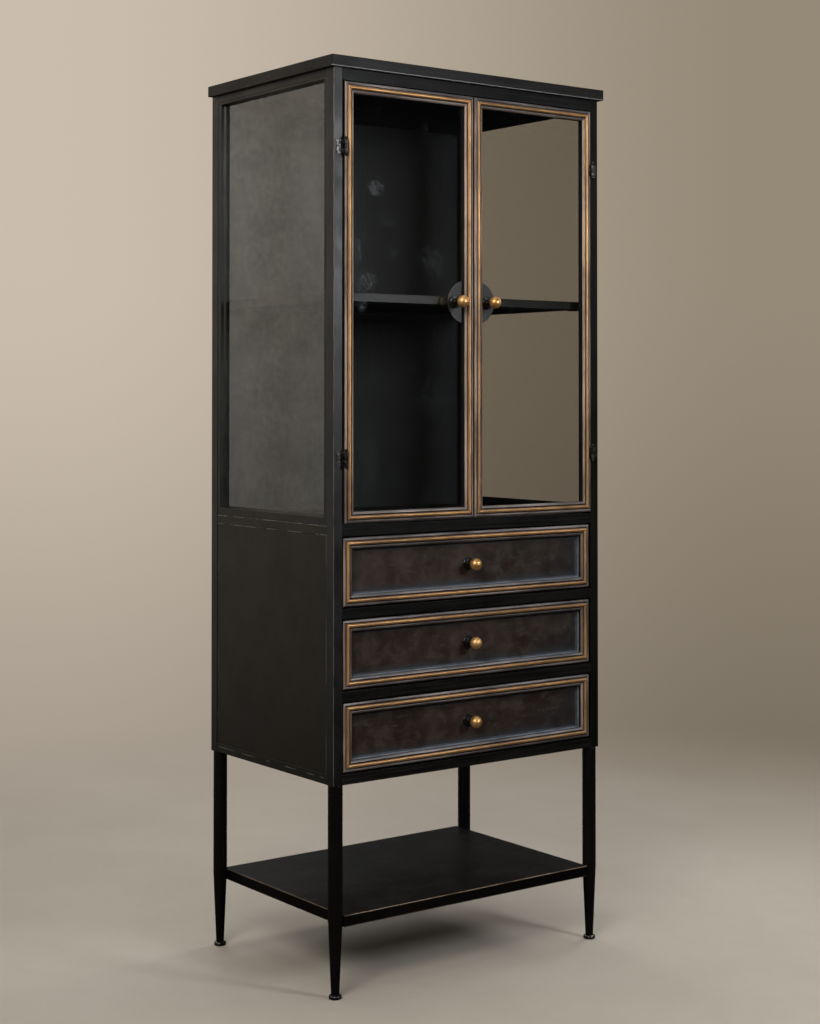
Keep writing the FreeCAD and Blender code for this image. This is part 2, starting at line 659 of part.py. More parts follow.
for number, bottom in enumerate(DRAWER_BOTTOMS, 1):
    prefix = "drawer_%d_" % number
    middle = bottom + DRAWER_H / 2
    save(prefix + "front_frame", moulded_frame(-DRAWER_X, DRAWER_X, bottom, bottom + DRAWER_H,
                                               DRAWER_Y, DRAWER_REBATE))
    save(prefix + "front_panel", drawer_panel(bottom))
    save(prefix + "box", drawer_box(bottom))
    save(prefix + "knob_base", knob_base(0, KNOB_SEAT_Y, middle))
    save(prefix + "knob", knob_ball(0, KNOB_SEAT_Y, middle,
                                    tail=DRAWER_BACK + SHEET - KNOB_SEAT_Y + 2.0))
save("drawer_runners", [s for z in DRAWER_BOTTOMS for s in both_sides(drawer_runner(z))])
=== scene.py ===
import bpy, bmesh, json, math, random
from mathutils import Vector, Matrix

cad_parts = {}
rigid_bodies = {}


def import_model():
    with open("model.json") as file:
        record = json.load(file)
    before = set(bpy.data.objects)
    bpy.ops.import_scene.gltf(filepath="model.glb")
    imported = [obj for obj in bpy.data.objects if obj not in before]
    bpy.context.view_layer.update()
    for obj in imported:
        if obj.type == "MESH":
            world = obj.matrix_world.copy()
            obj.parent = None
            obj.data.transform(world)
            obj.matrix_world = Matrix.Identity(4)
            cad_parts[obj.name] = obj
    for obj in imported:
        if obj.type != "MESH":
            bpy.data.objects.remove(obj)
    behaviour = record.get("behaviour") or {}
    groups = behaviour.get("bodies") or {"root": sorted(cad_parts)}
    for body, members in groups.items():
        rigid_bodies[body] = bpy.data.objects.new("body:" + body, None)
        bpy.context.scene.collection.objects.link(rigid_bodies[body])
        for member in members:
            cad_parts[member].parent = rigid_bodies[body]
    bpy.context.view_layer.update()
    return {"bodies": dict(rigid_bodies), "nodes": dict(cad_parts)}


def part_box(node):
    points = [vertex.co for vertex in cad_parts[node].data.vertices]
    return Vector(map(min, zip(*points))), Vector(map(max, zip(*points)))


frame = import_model()
NODES, BODIES = frame["nodes"], frame["bodies"]
rng = random.Random(7)

# ------------------------------------------------------------------ measures taken from the frame
MM = 0.001
box = {n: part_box(n) for n in NODES}
YF = box["post_front_left"][0].y            # front faces of the posts
YB = box["post_back_left"][1].y
XL, XR = box["post_front_left"][0].x, box["post_front_right"][1].x
TOP = box["top_board"][1].z


# ------------------------------------------------------------------ node helpers
class Mat:
    """Small helper that builds a node tree."""

    def __init__(self, name):
        self.m = bpy.data.materials.new(name)
        self.m.use_nodes = True
        self.t = self.m.node_tree
        self.t.nodes.clear()
        self.out = self.t.nodes.new("ShaderNodeOutputMaterial")
        self.tc = None

    def n(self, kind, **props):
        node = self.t.nodes.new(kind)
        for k, v in props.items():
            setattr(node, k, v)
        return node

    def link(self, a, b):
        self.t.links.new(a, b)

    def put(self, sock, v):
        if v is None:
            return
        if isinstance(v, bpy.types.NodeSocket):
            self.t.links.new(v, sock)
        elif isinstance(v, (tuple, list)) and len(v) == 3 and sock.type == "RGBA":
            sock.default_value = (*v, 1.0)
        else:
            sock.default_value = v

    def coord(self):
        if self.tc is None:
            self.tc = self.n("ShaderNodeTexCoord")
        return self.tc.outputs["Object"]

    def xyz(self):
        s = self.n("ShaderNodeSeparateXYZ")
        self.link(self.coord(), s.inputs[0])
        return s.outputs[0], s.outputs[1], s.outputs[2]

    def scaled(self, s, off=(0, 0, 0)):
        m = self.n("ShaderNodeMapping")
        self.link(self.coord(), m.inputs["Vector"])
        m.inputs["Scale"].default_value = s if isinstance(s, (tuple, list)) else (s, s, s)
        m.inputs["Location"].default_value = off
        return m.outputs[0]

    def noise(self, scale, detail=4.0, rough=0.55, vec=None, dist=0.0, stretch=None, off=(0, 0, 0)):
        t = self.n("ShaderNodeTexNoise")
        t.inputs["Scale"].default_value = scale
        t.inputs["Detail"].default_value = detail
        t.inputs["Roughness"].default_value = rough
        t.inputs["Distortion"].default_value = dist
        self.link(vec or self.scaled(stretch or (1, 1, 1), off), t.inputs["Vector"])
        return t.outputs["Fac"]

    def voronoi(self, scale, vec=None, feature="F1", rand=1.0):
        t = self.n("ShaderNodeTexVoronoi", feature=feature)
        t.inputs["Scale"].default_value = scale
        t.inputs["Randomness"].default_value = rand
        self.link(vec or self.coord(), t.inputs["Vector"])
        return t.outputs["Distance"]

    def math(self, op, a, b=0.0, c=None, clamp=False):
        t = self.n("ShaderNodeMath", operation=op, use_clamp=clamp)
        self.put(t.inputs[0], a)
        self.put(t.inputs[1], b)
        if c is not None:
            self.put(t.inputs[2], c)
        return t.outputs[0]

    def ramp(self, v, lo, hi, a=0.0, b=1.0, smooth=True):
        t = self.n("ShaderNodeMapRange", interpolation_type="SMOOTHSTEP" if smooth else "LINEAR")
        t.clamp = True
        self.put(t.inputs["Value"], v)
        for k, x in (("From Min", lo), ("From Max", hi), ("To Min", a), ("To Max", b)):
            self.put(t.inputs[k], x)
        return t.outputs["Result"]

    def mix(self, f, a, b, blend="MIX"):
        t = self.n("ShaderNodeMix", data_type="RGBA", blend_type=blend)
        self.put(t.inputs["Factor"], f)
        self.put(t.inputs[6], a)
        self.put(t.inputs[7], b)
        return t.outputs[2]

    def fmix(self, f, a, b):
        t = self.n("ShaderNodeMix", data_type="FLOAT")
        self.put(t.inputs["Factor"], f)
        self.put(t.inputs[2], a)
        self.put(t.inputs[3], b)
        return t.outputs[0]

    def bump(self, h, strength=0.2, dist=0.0005, normal=None):
        t = self.n("ShaderNodeBump")
        t.inputs["Strength"].default_value = strength
        t.inputs["Distance"].default_value = dist
        self.link(h, t.inputs["Height"])
        if normal is not None:
            self.link(normal, t.inputs["Normal"])
        return t.outputs[0]

    def edge(self, radius=0.0015, samples=6):
        """1 on a convex or concave edge, 0 on flats, and the rounded normal."""
        b = self.n("ShaderNodeBevel", samples=samples)
        b.inputs["Radius"].default_value = radius
        g = self.n("ShaderNodeNewGeometry")
        d = self.n("ShaderNodeVectorMath", operation="DOT_PRODUCT")
        self.link(b.outputs[0], d.inputs[0])
        self.link(g.outputs["Normal"], d.inputs[1])
        return self.ramp(d.outputs["Value"], 0.995, 0.80, 0.0, 1.0), b.outputs[0]

    def principled(self, **kw):
        p = self.n("ShaderNodeBsdfPrincipled")
        for k, v in kw.items():
            self.put(p.inputs[k.replace("_", " ")], v)
        return p

    def done(self, shader):
        self.link(shader, self.out.inputs["Surface"])
        return self.m


# ------------------------------------------------------------------ materials
def black_iron(name, a=(0.0048, 0.0045, 0.0044), b=(0.0098, 0.0091, 0.0086), wear=(0.16, 0.15, 0.14), rough=(0.30, 0.50),
               edge_amt=0.75, streak=(6, 6, 0.8), seed=0.0, spec=0.38, chips=True, radius=0.0014, extra=None, grain=0.16, brushed=0.35):
    M = Mat(name)
    off = (seed, seed * 1.7, seed * 0.6)
    big = M.noise(3.2, 5, 0.6, off=off)
    brush = M.noise(28, 6, 0.62, stretch=streak, off=off)
    mid = M.noise(38, 5, 0.6, off=off)
    tone = M.math("ADD", M.math("MULTIPLY", big, 1.0 - brushed), M.math("MULTIPLY", brush, brushed))
    col = M.mix(M.ramp(tone, 0.36, 0.66), a, b)
    col = M.mix(M.ramp(mid, 0.60, 0.78, 0.0, 0.35), col, tuple(x * 1.9 for x in b))
    e, nrm = M.edge(radius)
    patch = M.noise(22, 6, 0.7, off=off)
    w = M.math("MULTIPLY", e, M.ramp(patch, 0.44, 0.66), clamp=True)
    w = M.math("MULTIPLY", w, edge_amt)
    if chips:
        v = M.voronoi(46, vec=M.scaled((1, 1, 1), off))
        gate = M.ramp(M.noise(9, 2, 0.5, off=(seed + 3, 1, 2)), 0.66, 0.74)
        chip = M.math("MULTIPLY", M.ramp(v, 0.10, 0.055), gate)
        w = M.math("MAXIMUM", w, M.math("MULTIPLY", chip, 0.7))
    if extra is not None:
        w = M.math("MAXIMUM", w, extra(M, patch, brush), clamp=True)
    col = M.mix(w, col, wear)
    r = M.ramp(M.noise(11, 6, 0.65, off=off), 0.3, 0.7, rough[0], rough[1])
    r = M.fmix(w, r, 0.42)
    fine = M.noise(420, 3, 0.5)
    h = M.math("ADD", M.math("MULTIPLY", fine, 0.35), M.math("MULTIPLY", brush, 0.8))
    n1 = M.bump(h, grain, 0.0004, nrm)
    p = M.principled(Base_Color=col, Roughness=r, Metallic=M.math("MULTIPLY", w, 0.6), Normal=n1)
    p.inputs["Specular IOR Level"].default_value = spec
    return M.done(p.outputs[0])


def moulding(name, x0, x1, z0, z1, yf, seed=0.0, inner_tones=((0.140, 0.118, 0.108), (0.330, 0.290, 0.270))):
    """Dark moulding whose raised parts are rubbed to bronze. The bands follow the distance from the outer edge.
    Upward-facing slopes carry a painted grey sheen and left-facing slopes a painted warm highlight.
    """
    M = Mat(name)
    off = (seed, seed * 0.7, seed * 1.3)
    X, Y, Z = M.xyz()
    sx = M.math("MINIMUM", M.math("SUBTRACT", X, x0), M.math("SUBTRACT", x1, X))
    sz = M.math("MINIMUM", M.math("SUBTRACT", Z, z0), M.math("SUBTRACT", z1, Z))
    s = M.math("MULTIPLY", M.math("MINIMUM", sx, sz), 1000.0)
    # how far behind the front of the door or drawer, in mm
    d = M.math("MULTIPLY", M.math("SUBTRACT", Y, yf), 1000.0)

    lying = M.math("LESS_THAN", sz, sx)

    def along(scale, detail, rough, squeeze, o):
        """Noise drawn out along the member it is on."""
        return M.fmix(lying, M.noise(scale, detail, rough, stretch=(1, 1, squeeze), off=o),
                      M.noise(scale, detail, rough, stretch=(squeeze, 1, 1), off=o))

    longn = M.noise(5, 5, 0.65, off=off)
    shortn = along(110, 4, 0.6, 0.06, (seed + 2, 3, 1))
    grain = along(420, 3, 0.6, 0.08, off)
    wob = M.math("MULTIPLY", M.math("SUBTRACT", along(70, 4, 0.6, 0.15, off), 0.5), 0.7)
    sw = M.math("ADD", s, wob)
    dw = M.math("ADD", d, wob)
    bead = M.math("MULTIPLY", M.ramp(sw, 5.6, 4.9), M.ramp(dw, 3.2, 1.4))
    ridge = M.math("MULTIPLY", M.math("MULTIPLY", M.ramp(sw, 6.3, 6.9), M.ramp(sw, 15.0, 14.4)), M.ramp(dw, 2.6, 1.2))
    inner = M.math("MULTIPLY", M.math("MULTIPLY", M.ramp(sw, 16.4, 16.9), M.ramp(sw, 21.6, 21.0)), M.ramp(dw, 4.2, 3.2))
    rub = M.ramp(M.math("ADD", M.math("MULTIPLY", longn, 0.6), M.math("MULTIPLY", shortn, 0.4)), 0.34, 0.58, 0.40, 1.0)

    dark = M.mix(M.ramp(shortn, 0.4, 0.7), (0.006, 0.0045, 0.004), (0.020, 0.0145, 0.0115))
    bronze = M.mix(M.ramp(grain, 0.35, 0.65), (0.60, 0.300, 0.108), (0.82, 0.475, 0.205))
    bronze = M.mix(M.ramp(longn, 0.38, 0.6, 0.5, 0.0), bronze, (0.30, 0.160, 0.075))
    # the very top of the ridge is polished, its feet keep brown
    foot = M.math("MAXIMUM", M.ramp(sw, 8.0, 6.6), M.ramp(sw, 13.2, 14.6))
    bronze = M.mix(M.math("MULTIPLY", foot, 0.62), bronze, (0.115, 0.062, 0.030))
    pale = M.mix(M.ramp(shortn, 0.38, 0.66), (0.150, 0.122, 0.116), (0.340, 0.290, 0.272))
    warm = M.mix(M.ramp(shortn, 0.38, 0.66), inner_tones[0], inner_tones[1])

    # painted light: upward-facing slopes get a pale grey painted sheen and left-facing slopes a warm painted highlight,
    # as if lit from above and from the left
    gn = M.n("ShaderNodeNewGeometry")
    nsep = M.n("ShaderNodeSeparateXYZ")
    M.link(gn.outputs["Normal"], nsep.inputs[0])
    painted_light_upward = M.ramp(nsep.outputs[2], 0.12, 0.60)
    painted_light_left_mask = M.ramp(nsep.outputs[0], -0.10, -0.60)
    painted_sheen_top = M.mix(M.ramp(shortn, 0.36, 0.64), (0.200, 0.190, 0.200), (0.440, 0.420, 0.430))
    painted_light_left = M.mix(M.ramp(shortn, 0.36, 0.64), (0.330, 0.225, 0.160), (0.620, 0.455, 0.345))
    pale = M.mix(M.math("MULTIPLY", painted_light_upward, 0.85), pale, painted_sheen_top)
    pale = M.mix(M.math("MULTIPLY", painted_light_left_mask, 0.8), pale, painted_light_left)
    warm = M.mix(M.math("MULTIPLY", painted_light_upward, 0.7), warm, painted_sheen_top)
    warm = M.mix(M.math("MULTIPLY", painted_light_left_mask, 0.8), warm, painted_light_left)
    bronze = M.mix(M.math("MULTIPLY", painted_light_upward, 0.20), bronze, painted_sheen_top)
    bronze = M.mix(M.math("MULTIPLY", painted_light_left_mask, 0.30), bronze, painted_light_left)

    fb = M.math("MULTIPLY", bead, rub)
    fr = M.math("MULTIPLY", ridge, M.ramp(rub, 0.3, 1.0, 0.62, 1.0))
    fi = M.math("MULTIPLY", inner, M.ramp(longn, 0.36, 0.58, 0.55, 1.0))
    col = M.mix(fb, dark, pale)
    col = M.mix(fr, col, bronze)
    col = M.mix(fi, col, warm)
    metal = M.math("MAXIMUM", M.math("MULTIPLY", fr, 0.70), M.math("MULTIPLY", M.math("MAXIMUM", fb, fi), 0.4), clamp=True)
    r = M.fmix(metal, M.ramp(shortn, 0.3, 0.7, 0.42, 0.6), M.ramp(grain, 0.3, 0.7, 0.34, 0.48))
    n1 = M.bump(M.math("ADD", M.math("MULTIPLY", grain, 0.6), M.math("MULTIPLY", shortn, 0.8)), 0.18, 0.0002)
    p = M.principled(Base_Color=col, Metallic=metal, Roughness=r, Normal=n1)
    p.inputs["Specular IOR Level"].default_value = 0.4
    return M.done(p.outputs[0])


def drawer_panel(name, x0, x1, z0, z1, seed=0.0):
    """Brown-black patina; the sloped border of the recess carries painted light: a blue-grey lit band, mostly low down
    and to the right, with a bright painted highlight line at its edge.
    """
    M = Mat(name)
    off = (seed, 0.3 * seed, 1.1 * seed)
    X, Y, Z = M.xyz()
    left = M.math("MULTIPLY", M.math("SUBTRACT", X, x0), 1000.0)
    right = M.math("MULTIPLY", M.math("SUBTRACT", x1, X), 1000.0)
    low = M.math("MULTIPLY", M.math("SUBTRACT", Z, z0), 1000.0)
    top = M.math("MULTIPLY", M.math("SUBTRACT", z1, Z), 1000.0)
    n1 = M.noise(9, 6, 0.62, off=off, dist=0.6)
    n2 = M.noise(26, 6, 0.66, off=(seed + 5, 2, 1), dist=0.3)
    n3 = M.noise(110, 4, 0.6, off=off)
    n4 = M.noise(60, 5, 0.7, off=(seed + 1, 4, 1), stretch=(0.5, 1, 1.6))
    col = M.mix(M.ramp(n1, 0.36, 0.64), (0.0235, 0.0145, 0.0108), (0.0450, 0.0275, 0.0200))
    col = M.mix(M.ramp(n2, 0.44, 0.64, 0, 0.75), col, (0.060, 0.043, 0.034))
    width, height = (x1 - x0) * 1000.0, (z1 - z0) * 1000.0
    patchy = M.math("MULTIPLY", M.math("SUBTRACT", n1, 0.5), 1.6)
    far = M.math("ADD", M.math("SUBTRACT", 0.75, M.math("DIVIDE", right, width)), M.math("MULTIPLY", M.math("DIVIDE", low, height), -0.35))
    col = M.mix(M.ramp(M.math("ADD", far, patchy), 0.15, 0.75, 0.0, 0.72), col, (0.0150, 0.0150, 0.0175))
    col = M.mix(M.ramp(M.noise(14, 5, 0.6, off=(seed + 9, 1, 4)), 0.54, 0.72, 0, 0.6), col, (0.024, 0.025, 0.016))
    col = M.mix(M.ramp(n4, 0.54, 0.72, 0, 0.55), col, (0.075, 0.063, 0.054))
    jig = M.math("MULTIPLY", M.math("SUBTRACT", n2, 0.5), 7.0)
    lowj, rightj = M.math("ADD", low, jig), M.math("ADD", right, jig)
    topj, leftj = M.math("ADD", top, M.math("MULTIPLY", jig, 0.4)), M.math("ADD", left, M.math("MULTIPLY", jig, 0.4))
    # painted light: the lower and right walls of the recess are lit blue-grey, fading inward; the top and left walls
    # get less
    soft = M.math("MAXIMUM", M.ramp(lowj, 19.0, 3.0), M.math("MULTIPLY", M.ramp(rightj, 13.0, 3.0), 0.8))
    soft = M.math("MAXIMUM", soft, M.math("MULTIPLY", M.math("MAXIMUM", M.ramp(topj, 8.5, 5.0), M.ramp(leftj, 7.5, 5.0)), 0.55))
    col = M.mix(M.math("MULTIPLY", soft, M.ramp(n1, 0.34, 0.60, 0.20, 0.85)), col, (0.040, 0.046, 0.056))
    # painted highlight: a light band and a thin bright line along the border edge, strongest low down and on the right
    edge = M.math("MAXIMUM", M.ramp(low, 5.0, 4.2), M.ramp(right, 5.0, 4.2))
    edge = M.math("MAXIMUM", edge, M.math("MULTIPLY", M.math("MAXIMUM", M.ramp(top, 5.0, 4.2), M.ramp(left, 5.0, 4.2)), 0.5))
    line = M.math("MAXIMUM", M.ramp(low, 2.4, 1.8), M.ramp(right, 2.4, 1.8))
    col = M.mix(M.math("MULTIPLY", edge, M.ramp(n4, 0.34, 0.58, 0.30, 0.9)), col, (0.072, 0.083, 0.100))
    col = M.mix(M.math("MULTIPLY", line, M.ramp(n2, 0.34, 0.58, 0.35, 1.0)), col, (0.190, 0.222, 0.265))
    # a few fine scratches
    sc = M.noise(34, 2, 0.5, stretch=(0.5, 1, 14), off=(seed, 2, 2))
    scr = M.math("MULTIPLY", M.ramp(M.math("ABSOLUTE", M.math("SUBTRACT", sc, 0.5)), 0.012, 0.002),
                 M.ramp(n1, 0.55, 0.62))
    col = M.mix(M.math("MULTIPLY", scr, 0.35), col, (0.15, 0.13, 0.12))
    r = M.ramp(n2, 0.3, 0.7, 0.36, 0.56)
    h = M.math("ADD", M.math("MULTIPLY", n3, 0.4), M.math("MULTIPLY", n2, 0.8))
    e, nrm = M.edge(0.0012, 4)
    n = M.bump(h, 0.16, 0.0004, nrm)
    p = M.principled(Base_Color=col, Roughness=r, Normal=n)
    p.inputs["Specular IOR Level"].default_value = 0.32
    return M.done(p.outputs[0])


def glass(name, seed=0.0, smudge=0.09, tint_and_shade=(0.810, 0.803, 0.784), marks=(), gain=1.9):
    """Thin clear pane: see-through, mirror-like at a slant, with a few wiping marks; what is seen through it is
    darkened by painted shade.
    """
    M = Mat(name)
    off = (seed, seed, seed)
    lp = M.n("ShaderNodeLightPath")
    geo = M.n("ShaderNodeNewGeometry")
    shadow = lp.outputs["Is Shadow Ray"]
    tr = M.n("ShaderNodeBsdfTransparent")
    # camera rays see through a dark colour that is part glass colour, part painted shade; shadow rays pass a much
    # lighter one
    M.put(tr.inputs["Color"], M.mix(shadow, tint_and_shade, (0.93, 0.94, 0.93)))
    gl = M.n("ShaderNodeBsdfGlossy")
    gl.inputs["Roughness"].default_value = 0.0
    gl.inputs["Color"].default_value = (0.97, 0.985, 1.0, 1)
    fr = M.n("ShaderNodeFresnel")
    fr.inputs["IOR"].default_value = 1.52
    front = M.math("SUBTRACT", 1.0, geo.outputs["Backfacing"])
    f = M.math("MULTIPLY", M.math("MULTIPLY", fr.outputs[0], gain, clamp=True), front)
    f = M.math("MULTIPLY", f, M.math("SUBTRACT", 1.0, shadow))
    m1 = M.n("ShaderNodeMixShader")
    M.put(m1.inputs[0], f)
    M.link(tr.outputs[0], m1.inputs[1])
    M.link(gl.outputs[0], m1.inputs[2])
    a = M.noise(5.5, 5, 0.62, off=(seed + 4, 1, 3), dist=1.3)
    b = M.noise(20, 6, 0.7, stretch=(1, 1, 0.35), off=off, dist=1.0)
    c = M.noise(75, 4, 0.6, off=off)
    k = M.math("MULTIPLY", M.ramp(a, 0.54, 0.74), M.ramp(b, 0.48, 0.74))
    wisp = M.noise(34, 5, 0.62, off=(seed, 4, 9), dist=1.6)
    for (px, pz, rx, rz, amt) in marks:
        X, Y, Z = M.xyz()
        dx = M.math("DIVIDE", M.math("SUBTRACT", X, px), rx)
        dz = M.math("DIVIDE", M.math("SUBTRACT", Z, pz), rz)
        q = M.math("ADD", M.math("MULTIPLY", dx, dx), M.math("MULTIPLY", dz, dz))
        q = M.math("ADD", q, M.math("MULTIPLY", M.math("SUBTRACT", wisp, 0.5), 2.4))
        thin = M.ramp(M.math("ABSOLUTE", M.math("SUBTRACT", wisp, 0.47)), 0.045, 0.0, 0.25, 1.0)
        q = M.math("MULTIPLY", M.ramp(q, 0.95, 0.0), M.math("MULTIPLY", thin, amt))
        k = M.math("MAXIMUM", k, q)
    k = M.math("ADD", M.math("MULTIPLY", k, M.ramp(c, 0.35, 0.65, 0.4, 1.0)), 0.02)
    k = M.math("MULTIPLY", k, smudge, clamp=True)
    k = M.math("MULTIPLY", M.math("MULTIPLY", k, front), M.math("SUBTRACT", 1.0, shadow))
    df = M.n("ShaderNodeBsdfDiffuse")
    df.inputs["Color"].default_value = (0.42, 0.46, 0.52, 1)
    m2 = M.n("ShaderNodeMixShader")
    M.put(m2.inputs[0], k)
    M.link(m1.outputs[0], m2.inputs[1])
    M.link(df.outputs[0], m2.inputs[2])
    return M.done(m2.outputs[0])


def brass(name, seed=0.0):
    M = Mat(name)
    off = (seed, seed, seed)
    n1 = M.noise(45, 5, 0.6, off=off)
    n2 = M.noise(260, 4, 0.6, off=off)
    col = M.mix(M.ramp(n1, 0.35, 0.65), (0.84, 0.445, 0.150), (0.98, 0.62, 0.265))
    spots = M.ramp(n2, 0.66, 0.78, 0.0, 0.45)
    col = M.mix(spots, col, (0.24, 0.135, 0.05))
    r = M.ramp(n1, 0.3, 0.7, 0.38, 0.50)
    n = M.bump(n2, 0.05, 0.0002)
    p = M.principled(Base_Color=col, Metallic=0.86, Roughness=r, Normal=n)
    return M.done(p.outputs[0])


def plain_metal(name, a, b, rough=(0.25, 0.4), metallic=0.8, scale=60, edge=0.6, wear=(0.5, 0.48, 0.45), bumpy=0.08,
                coat=0.0, stretch=(1, 1, 1), seed=0.0):
    M = Mat(name)
    off = (seed, 1, 2)
    n1 = M.noise(scale, 5, 0.6, off=off, stretch=stretch)
    n2 = M.noise(scale * 5, 3, 0.6, off=off, stretch=stretch)
    col = M.mix(M.ramp(n1, 0.35, 0.65), a, b)
    e, nrm = M.edge(0.0008, 4)
    w = M.math("MULTIPLY", M.math("MULTIPLY", e, M.ramp(n1, 0.4, 0.6)), edge)
    col = M.mix(w, col, wear)
    r = M.ramp(n2, 0.3, 0.7, rough[0], rough[1])
    n = M.bump(n2, bumpy, 0.0003, nrm)
    p = M.principled(Base_Color=col, Metallic=metallic, Roughness=r, Normal=n)
    p.inputs["Coat Weight"].default_value = coat
    p.inputs["Coat Roughness"].default_value = 0.12
    return M.done(p.outputs[0])


def side_panel(name, seed=0.0):
    def lines(M, patch, brush):
        X, Y, Z = M.xyz()
        y0, y1 = box["side_panel_left"][0].y, box["side_panel_left"][1].y
        front = M.math("MULTIPLY", M.ramp(M.math("ABSOLUTE", M.math("SUBTRACT", Y, YF + 0.0262)), 0.0009, 0.0004), 0.75)
        back = M.math("MULTIPLY", M.ramp(M.math("ABSOLUTE", M.math("SUBTRACT", Y, YB - 0.0262)), 0.0009, 0.0004), 0.6)
        w = M.math("MULTIPLY", M.math("MAXIMUM", front, back), M.ramp(M.noise(7, 4, 0.6, off=(seed, 2, 3)), 0.44, 0.56))
        v = M.voronoi(15, vec=M.scaled((1, 1, 1), (seed, 0, 0)))
        speck = M.math("MULTIPLY", M.ramp(v, 0.045, 0.025), M.ramp(M.noise(5, 2, 0.5, off=(seed, 7, 1)), 0.50, 0.56))
        return M.math("MAXIMUM", w, M.math("MULTIPLY", speck, 0.8))

    return black_iron(name, a=(0.0078, 0.0064, 0.0046), b=(0.0136, 0.0112, 0.0080), wear=(0.22, 0.205, 0.18),
                      rough=(0.32, 0.48), streak=(5, 5, 0.5), seed=seed, edge_amt=0.9, extra=lines)


def assign(mat, *names):
    for nme in names:
        o = NODES[nme]
        o.data.materials.clear()
        o.data.materials.append(mat)


def hairlines(M, patch, brush):
    """Fine lengthways scratches in the black of the front rails, strongest near the left end."""
    X, Y, Z = M.xyz()
    h = M.noise(60, 4, 0.7, stretch=(0.06, 1, 9), off=(3, 1, 7))
    return M.math("MULTIPLY", M.ramp(h, 0.56, 0.72), M.ramp(X, 0.10, -0.30, 0.05, 0.20))


def band(M, v, at, half, soft=0.0006):
    """1 inside a thin band of the coordinate v."""
    return M.ramp(M.math("ABSOLUTE", M.math("SUBTRACT", v, at)), half + soft, half)


def side_rail_lines(M, patch, brush):
    """Chipped light lines where the side rails meet the panel, and a thin light line low on the bottom rail."""
    X, Y, Z = M.xyz()
    wave = M.math("MULTIPLY", M.math("SUBTRACT", M.noise(10, 3, 0.5), 0.5), 0.005)
    zz = M.math("ADD", Z, wave)
    w = M.math("MULTIPLY", band(M, zz, 0.8990, 0.0005), 0.9)
    w = M.math("MAXIMUM", w, M.math("MULTIPLY", band(M, Z, 0.8815, 0.0005), 0.8))
    w = M.math("MAXIMUM", w, M.math("MULTIPLY", band(M, Z, 0.4175, 0.0004), 0.8))
    outer = M.ramp(M.math("ABSOLUTE", X), abs(XL) - 0.003, abs(XL) - 0.002)
    return M.math("MULTIPLY", M.math("MULTIPLY", w, outer), M.ramp(M.noise(34, 4, 0.65), 0.42, 0.58))


def top_lines(M, patch, brush):
    """Thin light line along the lower front edge of the top board, and lengthways scuffs on its front edge."""
    X, Y, Z = M.xyz()
    low = M.math("MULTIPLY", band(M, Z, box["top_board"][0].z + 0.0008, 0.0008), 0.55)
    edge = M.math("MULTIPLY", M.ramp(Y, box["top_board"][0].y + 0.004, box["top_board"][0].y + 0.001), low)
    scuff = M.noise(30, 5, 0.7, stretch=(0.12, 1, 9))
    sc = M.math("MULTIPLY", M.ramp(scuff, 0.60, 0.74), 0.16)
    return M.math("MAXIMUM", edge, sc)


def post_lines(M, patch, brush):
    """A light line runs along the outer front corners of the posts, in patches."""
    X, Y, Z = M.xyz()
    cx = M.ramp(M.math("ABSOLUTE", X), abs(XL) - 0.0016, abs(XL) - 0.0004)
    cy = M.ramp(Y, YF + 0.0016, YF + 0.0004)
    return M.math("MULTIPLY", M.math("MULTIPLY", cx, cy), M.ramp(patch, 0.36, 0.56, 0.35, 1.0))


iron = black_iron("iron_black", seed=1.0)
iron_post = black_iron("iron_posts", seed=4.0, streak=(9, 9, 0.35), wear=(0.22, 0.215, 0.205), extra=post_lines, spec=0.44)
# painted shade: the right posts get a shaded copy of the post paint, with a darker wear colour and little specular
# sheen
iron_post_shaded_right = black_iron("iron_posts_right_shaded", seed=5.0, streak=(9, 9, 0.35), wear=(0.20, 0.19, 0.18), extra=post_lines, spec=0.10)
iron_rail = black_iron("iron_rails", seed=2.0, streak=(0.18, 4, 11), grain=0.28, spec=0.12,
                       a=(0.0030, 0.0028, 0.0027), b=(0.0130, 0.0118, 0.0110), brushed=0.85, extra=hairlines)
iron_side = black_iron("iron_side_rails", seed=12.0, streak=(6, 0.4, 9), wear=(0.30, 0.29, 0.255), extra=side_rail_lines,
                       a=(0.0062, 0.0056, 0.0046), b=(0.0115, 0.0102, 0.0085))
iron_top = black_iron("iron_top", seed=6.0, streak=(0.18, 3, 9), a=(0.0030, 0.0028, 0.0027),
                      b=(0.0150, 0.0137, 0.0128), brushed=0.8, wear=(0.36, 0.35, 0.34), extra=top_lines, grain=0.24, spec=0.20)
iron_in = black_iron("iron_inside", seed=8.0, a=(0.0042, 0.0044, 0.0052), b=(0.0080, 0.0082, 0.0096), rough=(0.40, 0.60),
                     chips=False, edge_amt=0.4)
legs = black_iron("leg_enamel", seed=3.0, a=(0.0026, 0.0024, 0.0024), b=(0.0052, 0.0047, 0.0044), rough=(0.22, 0.38),
                  streak=(8, 8, 0.5), edge_amt=0.5)
assign(iron_post, "post_front_left", "post_back_left")
assign(iron_post_shaded_right, "post_front_right", "post_back_right")
assign(iron_rail, "front_rails", "drawer_dividers", "back_rails")
assign(iron_side, "side_rails")
assign(iron_top, "top_board")


